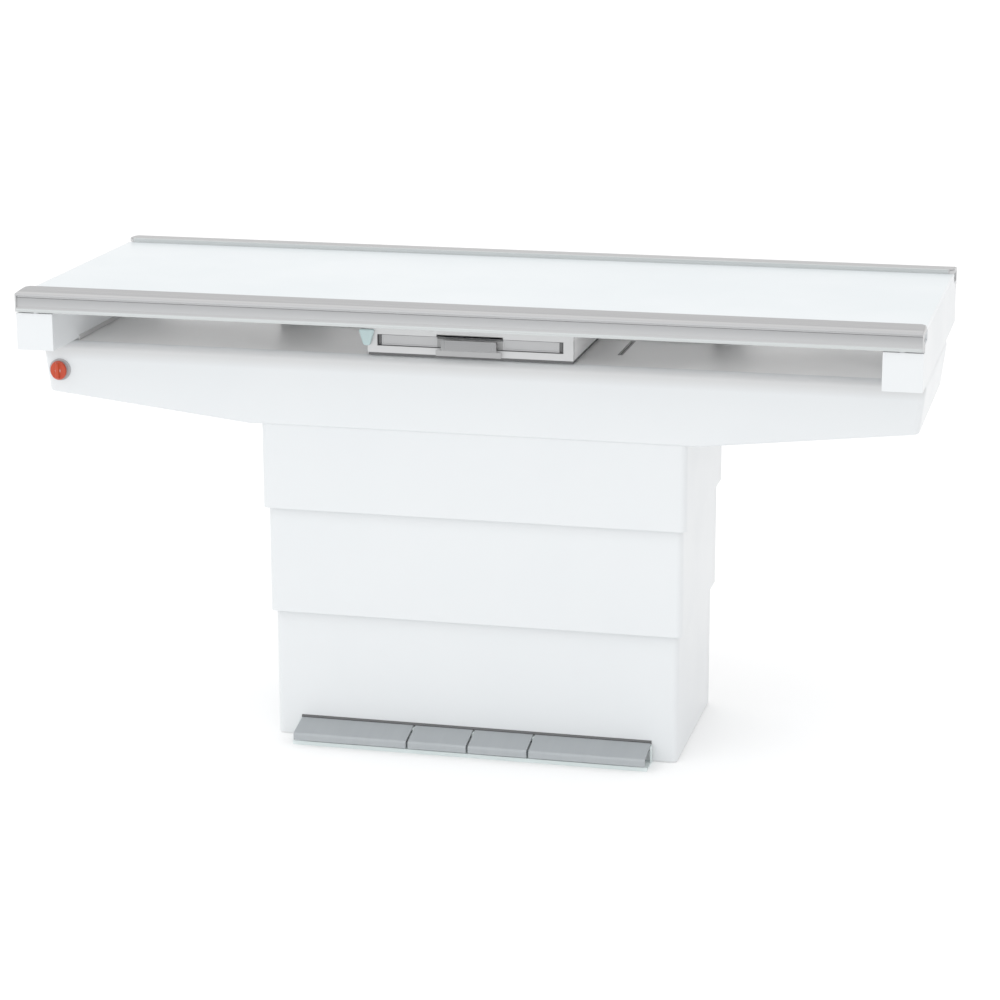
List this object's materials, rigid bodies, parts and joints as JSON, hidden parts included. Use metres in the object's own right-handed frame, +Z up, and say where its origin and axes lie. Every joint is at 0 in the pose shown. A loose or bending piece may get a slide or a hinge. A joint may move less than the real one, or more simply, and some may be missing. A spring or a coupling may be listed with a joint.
{
  "type": "radiography table",
  "caption": "Height-adjustable radiography table: flat top floating on a boat-shaped body over telescoping column covers, cassette bucky under the top, foot pedals at the base.",
  "frame": {"origin": "centre of the floor bolt pattern, on the floor under the base plate, with the table at its full height and the top and bucky centred", "axes": "+Z up, +X along the tabletop to the end on the right as seen from the pedals, -Y towards the pedals"},
  "size_m": [2, 0.79, 1.047],
  "materials": {
    "white_enamel": "semi-gloss powder coat",
    "panel_white": "smooth laminate",
    "rail_aluminium": "satin anodised",
    "rail_cap_grey": "moulded",
    "deck_grey": "satin paint",
    "bucky_grey": "satin paint",
    "tray_grey": "satin paint",
    "tray_steel": "brushed",
    "grid_aluminium": "fine lamellae under a sheet",
    "machine_steel": "plain paint",
    "rail_steel": "ground",
    "bronze": "machined",
    "glide_plastic": "machined",
    "black_plastic": "moulded",
    "pedal_grey": "moulded, lightly textured",
    "pale_strip": "satin paint",
    "lever_cyan": "moulded",
    "stop_red": "moulded"
  },
  "bodies": {
    "base": {"base_plate": "machine_steel", "pedal_bracket": "pale_strip", "lower_cover": "white_enamel", "outer_tubes": "machine_steel", "gearboxes": "machine_steel", "lift_motor": "machine_steel", "control_box": "machine_steel", "mains_inlet": "black_plastic", "pedal_pin": "machine_steel", "pedal_switches": "black_plastic"},
    "left_float_pedal": {"pedal_float_left": "pedal_grey"},
    "down_pedal": {"pedal_down": "pedal_grey"},
    "up_pedal": {"pedal_up": "pedal_grey"},
    "right_float_pedal": {"pedal_float_right": "pedal_grey"},
    "mid_stage": {"middle_cover": "white_enamel", "middle_tubes": "machine_steel", "middle_glides": "glide_plastic"},
    "table_body": {"upper_cover": "white_enamel", "inner_tubes": "machine_steel", "inner_glides": "glide_plastic", "lift_nuts": "bronze", "upper_frame": "machine_steel", "front_cover": "white_enamel", "rear_cover": "white_enamel", "end_covers": "white_enamel", "bottom_pans": "white_enamel", "deck_pan": "deck_grey", "bucky_rails": "rail_steel", "cross_bearings": "machine_steel", "cross_brakes": "black_plastic", "stop_collar": "black_plastic"},
    "left_screw": {"lift_screw_left": "rail_steel"},
    "right_screw": {"lift_screw_right": "rail_steel"},
    "shaft": {"drive_shaft": "rail_steel"},
    "cross_carriage": {"carriage_frame": "machine_steel", "cross_rails": "rail_steel", "tabletop_bearings": "machine_steel", "tabletop_brakes": "black_plastic"},
    "tabletop": {"tabletop_panel": "panel_white", "front_rail": "rail_aluminium", "rear_rail": "rail_aluminium", "rail_caps": "rail_cap_grey", "left_end_beam": "white_enamel", "right_end_beam": "white_enamel", "guide_rails": "rail_steel"},
    "bucky": {"bucky_housing": "bucky_grey", "bucky_bezel": "white_enamel", "bucky_bearings": "machine_steel", "ion_chamber": "bucky_grey", "tray_runners": "rail_aluminium"},
    "grid_frame": {"grid": "grid_aluminium"},
    "cassette_tray": {"tray_pan": "tray_steel", "tray_front": "tray_grey", "tray_pull": "tray_grey"},
    "left_jaw": {"jaw_left": "black_plastic"},
    "right_jaw": {"jaw_right": "black_plastic"},
    "lock_lever": {"bucky_lever": "lever_cyan"},
    "stop_stem": {"stop_plunger": "machine_steel"},
    "stop_button": {"stop_head": "stop_red"}
  },
  "joints": [
    {"name": "lift", "type": "slide", "parent": "base", "child": "table_body", "axis": [0, 0, 1], "range_m": [-0.35, 0]},
    {"name": "middle_stage_slide", "type": "slide", "parent": "base", "child": "mid_stage", "axis": [0, 0, 1], "range_m": [-0.176, 0.001]},
    {"name": "left_screw_turn", "type": "hinge", "parent": "base", "child": "left_screw", "pos_m": [-0.29, 0, 0.05], "axis": [0, 0, 1], "range_deg": [-6301, 1]},
    {"name": "right_screw_turn", "type": "hinge", "parent": "base", "child": "right_screw", "pos_m": [0.29, 0, 0.05], "axis": [0, 0, 1], "range_deg": [-1, 6301]},
    {"name": "shaft_turn", "type": "hinge", "parent": "base", "child": "shaft", "pos_m": [0, 0, 0.05], "axis": [1, 0, 0], "range_deg": [-1, 6301]},
    {"name": "cross_float", "type": "slide", "parent": "table_body", "child": "cross_carriage", "axis": [0, 1, 0], "range_m": [-0.11, 0.11]},
    {"name": "long_float", "type": "slide", "parent": "cross_carriage", "child": "tabletop", "axis": [1, 0, 0], "range_m": [-0.35, 0.35]},
    {"name": "bucky_travel", "type": "slide", "parent": "table_body", "child": "bucky", "axis": [1, 0, 0], "range_m": [-0.2, 0.2]},
    {"name": "grid_shift", "type": "slide", "parent": "bucky", "child": "grid_frame", "axis": [0, 1, 0], "range_m": [-0.01, 0.01]},
    {"name": "tray_pull_out", "type": "slide", "parent": "bucky", "child": "cassette_tray", "axis": [0, -1, 0], "range_m": [0, 0.4]},
    {"name": "right_jaw_slide", "type": "slide", "parent": "cassette_tray", "child": "right_jaw", "axis": [-1, 0, 0], "range_m": [0, 0.07]},
    {"name": "left_jaw_slide", "type": "slide", "parent": "cassette_tray", "child": "left_jaw", "axis": [1, 0, 0], "range_m": [0, 0.07]},
    {"name": "bucky_lock", "type": "hinge", "parent": "bucky", "child": "lock_lever", "pos_m": [-0.222, -0.25, 0.96], "axis": [0, 1, 0], "range_deg": [0, 30]},
    {"name": "left_float_press", "type": "hinge", "parent": "base", "child": "left_float_pedal", "pos_m": [0, -0.232, 0.035], "axis": [1, 0, 0], "range_deg": [0, 5.5], "stiffness_Nm_per_rad": 15, "springref_deg": -2.86},
    {"name": "down_press", "type": "hinge", "parent": "base", "child": "down_pedal", "pos_m": [0, -0.232, 0.035], "axis": [1, 0, 0], "range_deg": [0, 5.5], "stiffness_Nm_per_rad": 15, "springref_deg": -2.86},
    {"name": "up_press", "type": "hinge", "parent": "base", "child": "up_pedal", "pos_m": [0, -0.232, 0.035], "axis": [1, 0, 0], "range_deg": [0, 5.5], "stiffness_Nm_per_rad": 15, "springref_deg": -2.86},
    {"name": "right_float_press", "type": "hinge", "parent": "base", "child": "right_float_pedal", "pos_m": [0, -0.232, 0.035], "axis": [1, 0, 0], "range_deg": [0, 5.5], "stiffness_Nm_per_rad": 15, "springref_deg": -2.86},
    {"name": "stop_press", "type": "slide", "parent": "table_body", "child": "stop_stem", "axis": [0, 1, 0], "range_m": [0, 0.005], "stiffness_N_per_m": 2000, "springref_m": -0.004},
    {"name": "stop_twist", "type": "hinge", "parent": "stop_stem", "child": "stop_button", "pos_m": [-0.955, -0.265, 0.843], "axis": [0, 1, 0], "range_deg": [0, 40], "stiffness_Nm_per_rad": 0.06, "springref_deg": -2.86}
  ],
  "couplings": [
    {"joint": "middle_stage_slide", "follows": "lift", "ratio": 0.5},
    {"joint": "left_screw_turn", "follows": "lift", "rad_per_m": 314.16},
    {"joint": "right_screw_turn", "follows": "lift", "rad_per_m": -314.16},
    {"joint": "shaft_turn", "follows": "lift", "rad_per_m": -314.16},
    {"joint": "left_jaw_slide", "follows": "right_jaw_slide", "ratio": 1}
  ]
}
